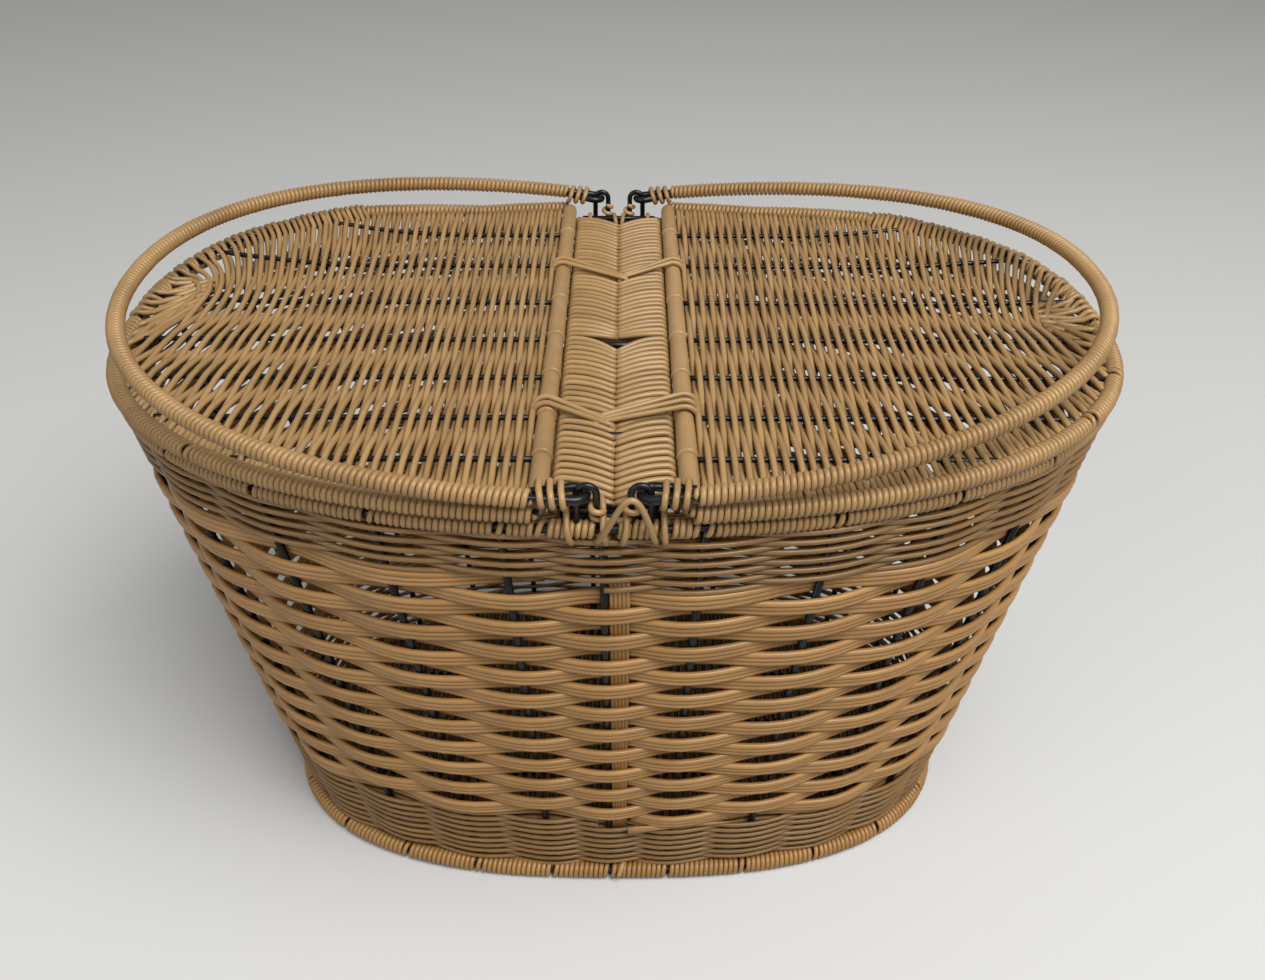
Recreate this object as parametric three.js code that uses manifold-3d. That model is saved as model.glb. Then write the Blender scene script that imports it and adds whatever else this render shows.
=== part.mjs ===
import * as THREE from 'three';
import { mergeVertices } from 'three/addons/utils/BufferGeometryUtils.js';
import Module from 'manifold-3d';

// An oval picnic basket of round cane on a welded wire frame, with two hinged lids
// and two swinging handles. Millimetres, +Z up, +X along the basket's length.
// The origin is at the middle of the base, on the surface that the basket stands on.

// Cane, wire and clearance
const STRAND = 2.5; // diameter of the round cane
const WIRE = 3; // diameter of the wire in the rims, edges and handles
const CROSS_WIRE = 2.6; // diameter of the stakes, rungs, cross wires and hinge wires
const GAP = 0.3; // clearance between pieces that touch
const LOOP_CLEARANCE = 0.5; // slack of a cane tie around what it holds
const BOUND_RADIUS = WIRE / 2 + STRAND; // a wire with cane wound round it

// Ovals: half length, half width and squareness of each wire's centreline
const BASE = { halfX: 174.6, halfY: 108.8, power: 2.57 };
const RIM = { halfX: 226, halfY: 159, power: 2.2 };
const LID = { halfX: 228, halfY: 162, power: 2.2 };
const RIM_HEIGHT = 249.7; // centre of the rim wire above the ground

// Wall
const STAKES = 25; // an odd count, so that each turn of the ribbon changes sides at a stake
const FRONT_STAKE = 0.7467; // first stake, as a share of the way round from +X
const FRONT_SPAN = 0.76; // spans on both sides of the first stake, as a share of the others
const LOWER_BAND = 37; // height of the fine weave above the base
const UPPER_BAND = 23; // height of the fine weave under the rim
const RIBBON_TURNS = 21;
const RIBBON = 2.2; // thickness of the flat ribbon
const LOWER_ROWS = 3;
const UPPER_ROWS = 2;
const ROW_GAP = 0.6; // slit between two rows
const WEAVE_SKIN = 1.2; // least thickness of the fine weave outside the stakes
const WEAVE_LIFT = 2; // how far a row stands out where it passes over a stake

// Mats of the floor and the lids, woven over cross wires
const MAT = 6;
const FLOOR_WIRES_Y = [-82, -41, 0, 41, 82];
const LID_WIRES_Y = [-123, -90, -54, -16, 26, 73, 117];

// Centre strip between the lids, and the lids' hinge bars beside it
const HINGE_X = 28.5;
const STRIP_SETBACK = 5.7; // how far the strip's cane stops short of its end bars
const STRIP_WAIST = 5; // thickness of the strip between its edges
const STRIP_VALLEY = 1.2; // how far the strip sinks along its middle
const STRIP_RUNGS_Y = [-100, -16, 100];
const TIE_TURNS = 2;
const TIE_FROM_WIRE = 5.5; // hinge tie to the lid's second cross wire from the end
const RIM_TIE_X = 16.9;

// Handles and the wire arches that carry them
const PIVOT_X = 10;
const PIVOT_RISE = 7; // handle axis above the lids' wires
const HANDLE_REACH = 211; // from the axis to the tip of the bow
const HOOK_RADIUS = 4.7; // bend of the hooked ends, at the middle of the wire
const HANDLE_POWER = 2.13;
const HANDLE_TILT = THREE.MathUtils.degToRad(5.6);
const HOOK_LEG = 14; // length of the end that is bent back
const HANDLE_BARE = 18; // bare wire from the axis to the binding
const LASHING_AT = 9; // lashing's distance from the axis
const ARCH_WIRE = 2.8;
const ARCH_CLEARANCE = 0.8; // round the hook that swings in the arch

// Facets
const WIRE_SIDES = 4; // frame wires, which lie inside the cane
const HOOK_SIDES = 6; // bare wires
const CANE_SIDES = 7; // an odd count gives the base binding a flat underside
const SEAT_SIDES = 2;
const RING_STEPS = 32;
const ARC_SAMPLES = 2000; // samples of an oval whose length is measured
const BOW_STEPS = 20;
const BEND_STEPS = 4;

// Colours
const CANE_MATERIAL = { color: 0x9a6a3c, roughness: 0.45, metalness: 0 };
const WIRE_MATERIAL = { color: 0x15161a, roughness: 0.35, metalness: 0.6 };

const UP = new THREE.Vector3(0, 0, 1);
const wasm = await Module();
wasm.setup();

const basket = new THREE.Group();

// Adds a named piece to a group.
function addPiece(group, name, geometry, look) {
  const piece = new THREE.Mesh(geometry, new THREE.MeshStandardMaterial(look));
  piece.name = name;
  group.add(piece);
}

// Turns a closed geometry into a solid for joining and cutting, and back.
function toSolid(geometry) {
  const bare = geometry.clone();
  bare.deleteAttribute('normal');
  bare.deleteAttribute('uv');
  const merged = mergeVertices(bare, 1e-4);
  const vertProperties = new Float32Array(merged.attributes.position.array);
  const triVerts = new Uint32Array(merged.index.array);
  return new wasm.Manifold(new wasm.Mesh({ numProp: 3, vertProperties, triVerts }));
}

function toGeometry(solid) {
  const { vertProperties, triVerts } = solid.getMesh();
  const geometry = new THREE.BufferGeometry();
  geometry.setAttribute('position', new THREE.BufferAttribute(vertProperties, 3));
  geometry.setIndex(new THREE.BufferAttribute(triVerts, 1));
  return geometry;
}

function join(geometries) {
  return toGeometry(geometries.map(toSolid).reduce((sum, next) => sum.add(next)));
}

function cut(geometry, tools) {
  return toGeometry(tools.map(toSolid).reduce((rest, tool) => rest.subtract(tool), toSolid(geometry)));
}

// Skins a run of rings with equal counts of points; caps close the two ends of an open run.
function loft(rings, isLoop, caps = []) {
  const corners = [];
  const runs = isLoop ? rings.length : rings.length - 1;
  for (let i = 0; i < runs; i += 1) {
    const ring = rings[i];
    const next = rings[(i + 1) % rings.length];
    ring.forEach((point, j) => {
      const k = (j + 1) % ring.length;
      corners.push(point, next[j], next[k], point, next[k], ring[k]);
    });
  }
  caps.forEach(([a, b, c]) => {
    const first = rings[0];
    const last = rings[rings.length - 1];
    corners.push(first[a], first[b], first[c], last[a], last[c], last[b]);
  });
  return facingOut(corners);
}

// Makes a geometry of loose triangles, turned so that its faces point out.
function facingOut(corners) {
  let volume = 0;
  for (let i = 0; i < corners.length; i += 3) {
    volume += corners[i].dot(corners[i + 1].clone().cross(corners[i + 2]));
  }
  const geometry = new THREE.BufferGeometry();
  geometry.setFromPoints(volume > 0 ? corners : corners.reverse());
  return geometry;
}

// Sweeps a flat section along stations, each with an origin and two directions.
function sweep(stations, section, isLoop = false) {
  const rings = stations.map(({ origin, u, v }) =>
    section.map((point) => origin.clone().addScaledVector(u, point.x).addScaledVector(v, point.y)),
  );
  const caps = isLoop ? [] : THREE.ShapeUtils.triangulateShape(section, []);
  return loft(rings, isLoop, caps);
}

// Stations along points that lie in one plane; u points to the right of the run, v along the normal.
function stationsAlong(points, normal, isLoop = false) {
  return points.map((origin, i) => {
    const last = points.length - 1;
    const before = points[i > 0 ? i - 1 : isLoop ? last : 0];
    const after = points[i < last ? i + 1 : isLoop ? 0 : last];
    const along = after.clone().sub(before).normalize();
    return { origin, u: along.cross(normal).normalize(), v: normal };
  });
}

function roundSection(radius, sides = WIRE_SIDES) {
  return Array.from({ length: sides }, (_, i) => {
    const angle = (2 * Math.PI * (i + 0.5)) / sides;
    return new THREE.Vector2(radius * Math.cos(angle), radius * Math.sin(angle));
  });
}

function boxSection(width, height) {
  return [
    new THREE.Vector2(-width / 2, -height / 2),
    new THREE.Vector2(width / 2, -height / 2),
    new THREE.Vector2(width / 2, height / 2),
    new THREE.Vector2(-width / 2, height / 2),
  ];
}

// Half the angle that the slot of a cane binding takes out of its circle.
function slotAngle(lean) {
  return Math.asin((WIRE / 2 + GAP + lean) / BOUND_RADIUS);
}

// A cane binding round a wire, open in one direction where the joining wires come in.
function bindingSection(direction, lean = 0) {
  const slot = slotAngle(lean);
  const points = [];
  for (let i = 0; i <= CANE_SIDES; i += 1) {
    const angle = slot + ((2 * Math.PI - 2 * slot) * i) / CANE_SIDES;
    points.push(new THREE.Vector2(Math.cos(angle), Math.sin(angle)).multiplyScalar(BOUND_RADIUS));
  }
  const seat = (WIRE / 2 + GAP) / Math.cos(Math.PI / (2 * SEAT_SIDES));
  for (let i = 0; i <= SEAT_SIDES; i += 1) {
    const angle = -Math.PI / 2 - (Math.PI * i) / SEAT_SIDES;
    points.push(new THREE.Vector2(Math.cos(angle), Math.sin(angle)).multiplyScalar(seat));
  }
  return points.map((point) => point.rotateAround(new THREE.Vector2(), direction));
}

// The height of a binding's centre when its flat underside lies on the ground.
function bindingDepth(lean) {
  return BOUND_RADIUS * Math.cos((Math.PI - slotAngle(lean)) / CANE_SIDES);
}

// A superellipse at one height: the point at an angle, and the direction straight out from it.
function ovalStation({ halfX, halfY, power }, angle, height, outward = 0) {
  const bulge = (value) => Math.sign(value) * Math.abs(value) ** (2 / power);
  const steep = (value) => Math.sign(value) * Math.abs(value) ** (2 - 2 / power);
  const across = new THREE.Vector3(steep(Math.cos(angle)) / halfX, steep(Math.sin(angle)) / halfY, 0);
  across.normalize();
  const origin = new THREE.Vector3(halfX * bulge(Math.cos(angle)), halfY * bulge(Math.sin(angle)), height);
  return { origin: origin.addScaledVector(across, outward), u: across, v: UP };
}

// Where a superellipse has a given width or length.
function ovalX({ halfX, halfY, power }, y) {
  return halfX * (1 - Math.abs(y / halfY) ** power) ** (1 / power);
}

function ovalY({ halfX, halfY, power }, x) {
  return halfY * (1 - Math.abs(x / halfX) ** power) ** (1 / power);
}

function ovalAngle({ halfX, power }, x) {
  return Math.acos((x / halfX) ** (power / 2));
}

// Stations that part a superellipse into equal lengths, the first of them on +X.
function ring(oval, height) {
  const sampleAngle = (i) => (2 * Math.PI * i) / ARC_SAMPLES;
  const lengths = [0];
  for (let i = 1; i <= ARC_SAMPLES; i += 1) {
    const before = ovalStation(oval, sampleAngle(i - 1), 0).origin;
    const step = ovalStation(oval, sampleAngle(i), 0).origin.distanceTo(before);
    lengths.push(lengths[i - 1] + step);
  }
  return Array.from({ length: RING_STEPS }, (_, i) => {
    const wanted = (lengths[ARC_SAMPLES] * i) / RING_STEPS;
    const past = Math.max(1, lengths.findIndex((length) => length >= wanted));
    const part = (wanted - lengths[past - 1]) / (lengths[past] - lengths[past - 1]);
    return ovalStation(oval, sampleAngle(past - 1 + part), height);
  });
}

// A station between those of a ring, at a share of the way round.
function onRing(stations, share) {
  const place = share * stations.length;
  const from = stations[Math.floor(place)];
  const to = stations[Math.ceil(place) % stations.length];
  const part = place - Math.floor(place);
  return {
    origin: from.origin.clone().lerp(to.origin, part),
    u: from.u.clone().lerp(to.u, part).normalize(),
  };
}

// A straight rod between two points, level unless it stands up.
function rod(from, to, radius = CROSS_WIRE / 2) {
  const along = to.clone().sub(from).normalize();
  const sideways = Math.abs(along.z) > Math.SQRT1_2 ? new THREE.Vector3(1, 0, 0) : UP;
  const u = along.clone().cross(sideways).normalize();
  const v = u.clone().cross(along);
  return sweep([{ origin: from, u, v }, { origin: to, u, v }], roundSection(radius));
}

// The radius of a bore that leaves clearance round a wire with the same facets.
function boreRadius(diameter, sides = WIRE_SIDES) {
  return diameter / 2 + GAP / Math.cos(Math.PI / sides);
}

// Cross wires along X, each from one length to another.
function crossWires(places, height, from, to, radius = CROSS_WIRE / 2) {
  return places.map((y) => {
    const start = new THREE.Vector3(from(y), y, height);
    return rod(start, new THREE.Vector3(to(y), y, height), radius);
  });
}

// A loop of cane round two equal circles in a plane; width is measured along the normal.
function caneLoop(centreA, centreB, radius, normal, width) {
  const along = centreB.clone().sub(centreA).normalize();
  const points = [];
  [[centreB, along], [centreA, along.clone().negate()]].forEach(([centre, nose]) => {
    for (let i = 0; i <= BEND_STEPS; i += 1) {
      const turn = -Math.PI / 2 + (Math.PI * i) / BEND_STEPS;
      points.push(nose.clone().applyAxisAngle(normal, turn).multiplyScalar(radius).add(centre));
    }
  });
  return sweep(stationsAlong(points, normal, true), boxSection(STRAND, width), true);
}

function block(x0, x1, y, width, z, height) {
  const box = new THREE.BoxGeometry(Math.abs(x1 - x0), width, height);
  return box.translate((x0 + x1) / 2, y, z);
}

// Heights that follow from the sizes above
const STAKE_LEAN = BOUND_RADIUS * Math.max(
  (RIM.halfX - BASE.halfX) / RIM_HEIGHT,
  (RIM.halfY - BASE.halfY) / RIM_HEIGHT,
);
const BASE_HEIGHT = bindingDepth(STAKE_LEAN);
const WALL_FOOT = BASE_HEIGHT + BOUND_RADIUS + GAP;
const WALL_TOP = RIM_HEIGHT - BOUND_RADIUS - GAP;
const LID_HEIGHT = RIM_HEIGHT + 2 * BOUND_RADIUS + GAP;
const STRIP_HEIGHT = RIM_HEIGHT + BOUND_RADIUS + GAP + WIRE / 2;
const STRIP_X = HINGE_X - 2 * BOUND_RADIUS - GAP;
const STRIP_END = RIM.halfY - BOUND_RADIUS - GAP - WIRE;
const STRIP_HALF_LENGTH = STRIP_END - STRIP_SETBACK;
const LOOP_RADIUS = BOUND_RADIUS + LOOP_CLEARANCE + STRAND / 2;
const LOOP_REACH = LOOP_RADIUS + STRAND / 2;
const TIE_WIDTH = TIE_TURNS * STRAND;
const PIVOT_HEIGHT = LID_HEIGHT + PIVOT_RISE;
const ARCH_Y = ovalY(RIM, PIVOT_X);
const HANDLE_HALF_Y = ARCH_Y + HOOK_RADIUS;

// Wire frame of the body: rim ring, base ring, stakes and floor wires, welded together.
// The first stake stands near the middle of the front, with its neighbours closer than the others.
const toBase = (y) => ovalX(BASE, y);
const fromBase = (y) => -ovalX(BASE, y);
const stakeSum = STAKES - 2 + 2 * FRONT_SPAN;
const stakeShares = Array.from({ length: STAKES }, (_, i) => {
  const reach = i === 0 ? 0 : (i - 1 + FRONT_SPAN) / stakeSum;
  return (FRONT_STAKE + reach) % 1;
});
const baseRing = ring(BASE, BASE_HEIGHT);
const rimRing = ring(RIM, RIM_HEIGHT);
const stakeEnds = stakeShares.map((share) => ({
  foot: onRing(baseRing, share),
  head: onRing(rimRing, share),
}));
const stakes = stakeEnds.map(({ foot, head }) => rod(foot.origin, head.origin));
const floorBores = crossWires(FLOOR_WIRES_Y, BASE_HEIGHT, fromBase, toBase, boreRadius(CROSS_WIRE));
addPiece(basket, 'body_frame', join([
  sweep(baseRing, roundSection(WIRE / 2), true),
  sweep(rimRing, roundSection(WIRE / 2), true),
  ...stakes,
  ...crossWires(FLOOR_WIRES_Y, BASE_HEIGHT, fromBase, toBase),
]), WIRE_MATERIAL);

// Cane bound round the base ring and the rim ring.
const baseBinding = sweep(baseRing, bindingSection(Math.PI / 2, STAKE_LEAN), true);
addPiece(basket, 'base_binding', cut(baseBinding, floorBores), CANE_MATERIAL);
const rimBinding = sweep(rimRing, bindingSection(-Math.PI / 2, STAKE_LEAN), true);
addPiece(basket, 'rim_binding', rimBinding, CANE_MATERIAL);

// Extrudes a flat outline to a mat that is centred on a height.
function mat(points, height) {
  const outline = new THREE.Shape(points.map(({ x, y }) => new THREE.Vector2(x, y)));
  const plate = new THREE.ExtrudeGeometry(outline, { depth: MAT, bevelEnabled: false });
  return plate.translate(0, 0, height - MAT / 2);
}

// Woven floor on its cross wires.
const floorOutline = baseRing.map(({ origin, u }) =>
  origin.clone().addScaledVector(u, -BOUND_RADIUS - GAP),
);
addPiece(basket, 'floor_mat', cut(mat(floorOutline, BASE_HEIGHT), floorBores), CANE_MATERIAL);

// A point of the wall beside a stake, at a height and a distance out from the stake's centre.
function wallPoint({ foot, head }, height, outward) {
  const share = (height - BASE_HEIGHT) / (RIM_HEIGHT - BASE_HEIGHT);
  const across = foot.u.clone().lerp(head.u, share).normalize();
  return foot.origin.clone().lerp(head.origin, share).addScaledVector(across, outward);
}

// Heights of the main band, and how far its ribbon has climbed when it has passed some stakes.
const MAIN_FOOT = WALL_FOOT + LOWER_BAND;
const MAIN_TOP = WALL_TOP - UPPER_BAND;
const RIBBON_PITCH = (MAIN_TOP - MAIN_FOOT) / (RIBBON_TURNS + 1);
const climbed = (stakesPassed) => (RIBBON_PITCH * stakesPassed) / STAKES;

// A band of fine weave between two heights at each stake: a row stands out at every second stake,
// and the next row at the others.
function wallBand(bottomAt, topAt, rows) {
  const inner = CROSS_WIRE / 2 + GAP;
  const rings = stakeEnds.map((stake, i) => {
    const bottom = bottomAt(i);
    const top = topAt(i);
    const rowHeight = (top - bottom) / rows;
    const profile = [wallPoint(stake, top, inner), wallPoint(stake, bottom, inner)];
    for (let row = 0; row < rows; row += 1) {
      const outer = inner + WEAVE_SKIN + WEAVE_LIFT * ((row + i) % 2);
      const low = row === 0 ? bottom : bottom + row * rowHeight + ROW_GAP / 2;
      const high = row === rows - 1 ? top : bottom + (row + 1) * rowHeight - ROW_GAP / 2;
      profile.push(wallPoint(stake, low, outer), wallPoint(stake, high, outer));
    }
    return profile;
  });
  return loft(rings, true);
}

// The ribbon of the main band: one flat cane that climbs round the wall, inside one stake
// and outside the next, so that it opens a gap between its turns at each stake.
function spiralRibbon() {
  const near = CROSS_WIRE / 2 + GAP;
  const far = near + RIBBON;
  const rings = [];
  for (let i = 0; i < RIBBON_TURNS * STAKES; i += 1) {
    const stake = stakeEnds[i % STAKES];
    const low = MAIN_FOOT + climbed(i) + ROW_GAP / 2;
    const high = MAIN_FOOT + climbed(i + STAKES) - ROW_GAP / 2;
    const [inner, outer] = i % 2 === 0 ? [-far, -near] : [near, far];
    rings.push([
      wallPoint(stake, low, inner),
      wallPoint(stake, low, outer),
      wallPoint(stake, high, outer),
      wallPoint(stake, high, inner),
    ]);
  }
  return loft(rings, false, [[0, 1, 2], [0, 2, 3]]);
}

// The fine weave follows the first and the last turn of the ribbon.
const lowerBand = wallBand(() => WALL_FOOT, (i) => MAIN_FOOT + climbed(i), LOWER_ROWS);
const upperBand = wallBand((i) => MAIN_TOP - RIBBON_PITCH + climbed(i), () => WALL_TOP, UPPER_ROWS);
addPiece(basket, 'lower_weave', lowerBand, CANE_MATERIAL);
addPiece(basket, 'main_weave', spiralRibbon(), CANE_MATERIAL);

// The fine weave under the rim leaves room for the loops that tie the strip to the rim.
const ends = [['front', -1], ['rear', 1]];
const tieY = (end) => LID_WIRES_Y.at(end < 0 ? 1 : -2) - end * TIE_FROM_WIRE;
const sides = [['left', -1], ['right', 1]];
const rimTieRoom = ends.flatMap(([, end]) => sides.map(([, side]) => {
  const width = STRAND + 2 * LOOP_CLEARANCE;
  const x = side * RIM_TIE_X;
  const height = LOOP_REACH + LOOP_CLEARANCE;
  const middle = RIM_HEIGHT - height / 2;
  return block(x - width / 2, x + width / 2, end * RIM.halfY, 4 * BOUND_RADIUS, middle, height);
}));
addPiece(basket, 'upper_weave', cut(upperBand, rimTieRoom), CANE_MATERIAL);

// Ladder of wire in the centre strip: two edge wires, rungs and two end bars.
const rungs = [-STRIP_END, ...STRIP_RUNGS_Y, STRIP_END];
const edgeRods = (radius) => sides.map(([, side]) => rod(
  new THREE.Vector3(side * STRIP_X, -STRIP_END, STRIP_HEIGHT),
  new THREE.Vector3(side * STRIP_X, STRIP_END, STRIP_HEIGHT),
  radius,
));
const rungRods = (radius) => rungs.map((y) => rod(
  new THREE.Vector3(-STRIP_X, y, STRIP_HEIGHT),
  new THREE.Vector3(STRIP_X, y, STRIP_HEIGHT),
  radius,
));
addPiece(basket, 'strip_frame', join([...edgeRods(WIRE / 2), ...rungRods(CROSS_WIRE / 2)]), WIRE_MATERIAL);

// Herringbone cane of the strip: a full round along each edge wire, and a shallow valley between.
const STRIP_WAIST_ANGLE = Math.asin(STRIP_WAIST / 2 / BOUND_RADIUS);
function stripSection() {
  const points = [];
  const edge = STRIP_WAIST_ANGLE;
  for (let i = 0; i <= CANE_SIDES; i += 1) {
    const angle = -Math.PI + edge + ((2 * Math.PI - 2 * edge) * i) / CANE_SIDES;
    points.push(new THREE.Vector2(
      STRIP_X + BOUND_RADIUS * Math.cos(angle),
      BOUND_RADIUS * Math.sin(angle),
    ));
  }
  points.push(new THREE.Vector2(0, STRIP_WAIST / 2 - STRIP_VALLEY));
  for (let i = CANE_SIDES; i >= 0; i -= 1) {
    points.push(new THREE.Vector2(-points[i].x, points[i].y));
  }
  points.push(new THREE.Vector2(0, -STRIP_WAIST / 2 - STRIP_VALLEY));
  return points;
}

const stripStations = [-STRIP_HALF_LENGTH, STRIP_HALF_LENGTH].map((y) => ({
  origin: new THREE.Vector3(0, y, STRIP_HEIGHT),
  u: new THREE.Vector3(1, 0, 0),
  v: UP,
}));
const tieRoom = TIE_WIDTH + 2 * LOOP_CLEARANCE;
const stripTieRoom = ends.flatMap(([, end]) => sides.map(([, side]) => block(
  side * (STRIP_X - LOOP_REACH - LOOP_CLEARANCE),
  side * (STRIP_X - BOUND_RADIUS * Math.cos(STRIP_WAIST_ANGLE)),
  tieY(end),
  tieRoom,
  STRIP_HEIGHT,
  4 * BOUND_RADIUS,
)));
addPiece(basket, 'strip_mat', cut(sweep(stripStations, stripSection()), [
  ...edgeRods(boreRadius(WIRE)),
  ...rungRods(boreRadius(CROSS_WIRE)),
  ...stripTieRoom,
]), CANE_MATERIAL);

// Cane loops at the strip's ends and edges, and the wire arches on the rim.
const ALONG_X = new THREE.Vector3(1, 0, 0);
const ALONG_Y = new THREE.Vector3(0, 1, 0);
ends.forEach(([endName, end]) => sides.forEach(([sideName, side]) => {
  const hinge = new THREE.Vector3(side * HINGE_X, tieY(end), LID_HEIGHT);
  const edge = new THREE.Vector3(side * STRIP_X, tieY(end), STRIP_HEIGHT);
  const hingeTie = caneLoop(edge, hinge, LOOP_RADIUS, ALONG_Y, TIE_WIDTH);
  addPiece(basket, `${sideName}_${endName}_hinge_tie`, hingeTie, CANE_MATERIAL);

  const rimY = ovalY(RIM, RIM_TIE_X);
  const rimCentre = new THREE.Vector3(side * RIM_TIE_X, end * rimY, RIM_HEIGHT);
  const barReach = LOOP_RADIUS - STRAND / 2 - LOOP_CLEARANCE - CROSS_WIRE / 2;
  const barCentre = new THREE.Vector3(side * RIM_TIE_X, end * STRIP_END, STRIP_HEIGHT);
  const inward = rimCentre.clone().sub(barCentre).normalize();
  const loopEnd = barCentre.addScaledVector(inward, barReach);
  const rimTie = caneLoop(loopEnd, rimCentre, LOOP_RADIUS, ALONG_X, STRAND);
  addPiece(basket, `${sideName}_${endName}_rim_tie`, rimTie, CANE_MATERIAL);

  const archRadius = WIRE / 2 + ARCH_CLEARANCE + ARCH_WIRE / 2;
  const foot = RIM_HEIGHT + BOUND_RADIUS + GAP;
  const archAt = (x, z) => new THREE.Vector3(side * PIVOT_X + x, end * ARCH_Y, z);
  const archPoints = [archAt(archRadius, foot)];
  for (let i = 0; i <= BEND_STEPS; i += 1) {
    const angle = (Math.PI * i) / BEND_STEPS;
    const lift = archRadius * Math.sin(angle);
    archPoints.push(archAt(archRadius * Math.cos(angle), PIVOT_HEIGHT + lift));
  }
  archPoints.push(archAt(-archRadius, foot));
  const arch = sweep(stationsAlong(archPoints, ALONG_Y), roundSection(ARCH_WIRE / 2, HOOK_SIDES));
  addPiece(basket, `${sideName}_${endName}_arch`, arch, WIRE_MATERIAL);
}));

// A lid: D-shaped wire frame with cross wires, bound rim, hinge tube and woven mat.
const lidCorner = ovalAngle(LID, HINGE_X);
const bindingStart = ovalAngle(LID, HINGE_X + BOUND_RADIUS + 2 * GAP);
const lidAngles = Array.from({ length: BOW_STEPS + 1 }, (_, i) =>
  bindingStart * ((2 * i) / BOW_STEPS - 1),
);

function addLid(sideName, side) {
  const station = (angle) => ovalStation(LID, side > 0 ? angle : Math.PI - angle, LID_HEIGHT);
  const arc = lidAngles.map(station);
  const wholeArc = [-lidCorner, ...lidAngles, lidCorner].map(station);
  const cornerY = ovalY(LID, HINGE_X);
  const hingeAt = (y) => new THREE.Vector3(side * HINGE_X, y, LID_HEIGHT);
  const fromHinge = () => side * HINGE_X;
  const toRim = (y) => side * ovalX(LID, y);
  addPiece(basket, `${sideName}_lid_frame`, join([
    sweep(wholeArc, roundSection(WIRE / 2)),
    rod(hingeAt(-cornerY), hingeAt(cornerY)),
    ...crossWires(LID_WIRES_Y, LID_HEIGHT, fromHinge, toRim),
  ]), WIRE_MATERIAL);

  const rim = sweep(arc, bindingSection(Math.PI));
  addPiece(basket, `${sideName}_lid_binding`, rim, CANE_MATERIAL);

  const tubeEnds = [-1, 1].map((end) => ({
    origin: hingeAt(end * (cornerY + BOUND_RADIUS)),
    u: new THREE.Vector3(side, 0, 0),
    v: UP,
  }));
  addPiece(basket, `${sideName}_hinge_tube`, sweep(tubeEnds, bindingSection(0)), CANE_MATERIAL);

  const outline = lidAngles.map((angle) => {
    const { origin, u } = station(angle);
    return origin.addScaledVector(u, -BOUND_RADIUS - GAP);
  });
  const tieNotches = ends.map(([, end]) => block(
    fromHinge(),
    side * (HINGE_X + LOOP_REACH + LOOP_CLEARANCE),
    tieY(end),
    tieRoom,
    LID_HEIGHT,
    2 * MAT,
  ));
  const bores = crossWires(LID_WIRES_Y, LID_HEIGHT, fromHinge, toRim, boreRadius(CROSS_WIRE));
  const woven = cut(mat(outline, LID_HEIGHT), [...bores, ...tieNotches]);
  addPiece(basket, `${sideName}_lid_mat`, woven, CANE_MATERIAL);
}

// A handle: a bow of wire with hooked ends, its cane binding, and a lashing that shuts each hook.
const BOW = { halfX: HANDLE_REACH - HOOK_RADIUS, halfY: HANDLE_HALF_Y, power: HANDLE_POWER };

function bowPoint(angle, side) {
  const { origin } = ovalStation(BOW, angle, 0);
  return new THREE.Vector3(side * (HOOK_RADIUS + origin.x), origin.y, 0);
}

function hookPoints(end, side) {
  const points = [new THREE.Vector3(side * HOOK_LEG, end * (HANDLE_HALF_Y - 2 * HOOK_RADIUS), 0)];
  for (let i = 0; i < BEND_STEPS; i += 1) {
    const angle = (Math.PI * i) / BEND_STEPS;
    const x = HOOK_RADIUS * (1 - Math.sin(angle));
    const y = HANDLE_HALF_Y - HOOK_RADIUS * (1 + Math.cos(angle));
    points.push(new THREE.Vector3(side * x, end * y, 0));
  }
  return points;
}

function addHandle(sideName, side) {
  const handle = new THREE.Group();
  handle.position.set(side * PIVOT_X, 0, PIVOT_HEIGHT);
  handle.rotation.y = -side * HANDLE_TILT;
  basket.add(handle);

  const bound = ovalAngle(BOW, HANDLE_BARE - HOOK_RADIUS);
  const bow = Array.from({ length: BOW_STEPS + 1 }, (_, i) =>
    bowPoint(bound * ((2 * i) / BOW_STEPS - 1), side),
  );
  const corner = Math.PI / 2;
  const wholeBow = [bowPoint(-corner, side), ...bow, bowPoint(corner, side)];
  const wirePoints = [...hookPoints(-1, side), ...wholeBow, ...hookPoints(1, side).reverse()];
  const wire = sweep(stationsAlong(wirePoints, UP), roundSection(WIRE / 2, HOOK_SIDES));
  addPiece(handle, `${sideName}_handle_wire`, wire, WIRE_MATERIAL);

  const bore = sweep(stationsAlong(wholeBow, UP), roundSection(boreRadius(WIRE, HOOK_SIDES), HOOK_SIDES));
  const solidBinding = sweep(stationsAlong(bow, UP), roundSection(BOUND_RADIUS, CANE_SIDES));
  addPiece(handle, `${sideName}_handle_binding`, cut(solidBinding, [bore]), CANE_MATERIAL);

  ends.forEach(([endName, end]) => {
    const outer = new THREE.Vector3(side * LASHING_AT, end * HANDLE_HALF_Y, 0);
    const inner = outer.clone().setY(end * (HANDLE_HALF_Y - 2 * HOOK_RADIUS));
    const radius = WIRE / 2 + LOOP_CLEARANCE + STRAND / 2;
    const lashing = caneLoop(inner, outer, radius, ALONG_X, TIE_WIDTH);
    addPiece(handle, `${sideName}_${endName}_lashing`, lashing, CANE_MATERIAL);
  });
}

sides.forEach(([sideName, side]) => {
  addLid(sideName, side);
  addHandle(sideName, side);
});

export default basket;
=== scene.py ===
import math

import bpy
import numpy as np
from mathutils import Matrix, Vector


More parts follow.
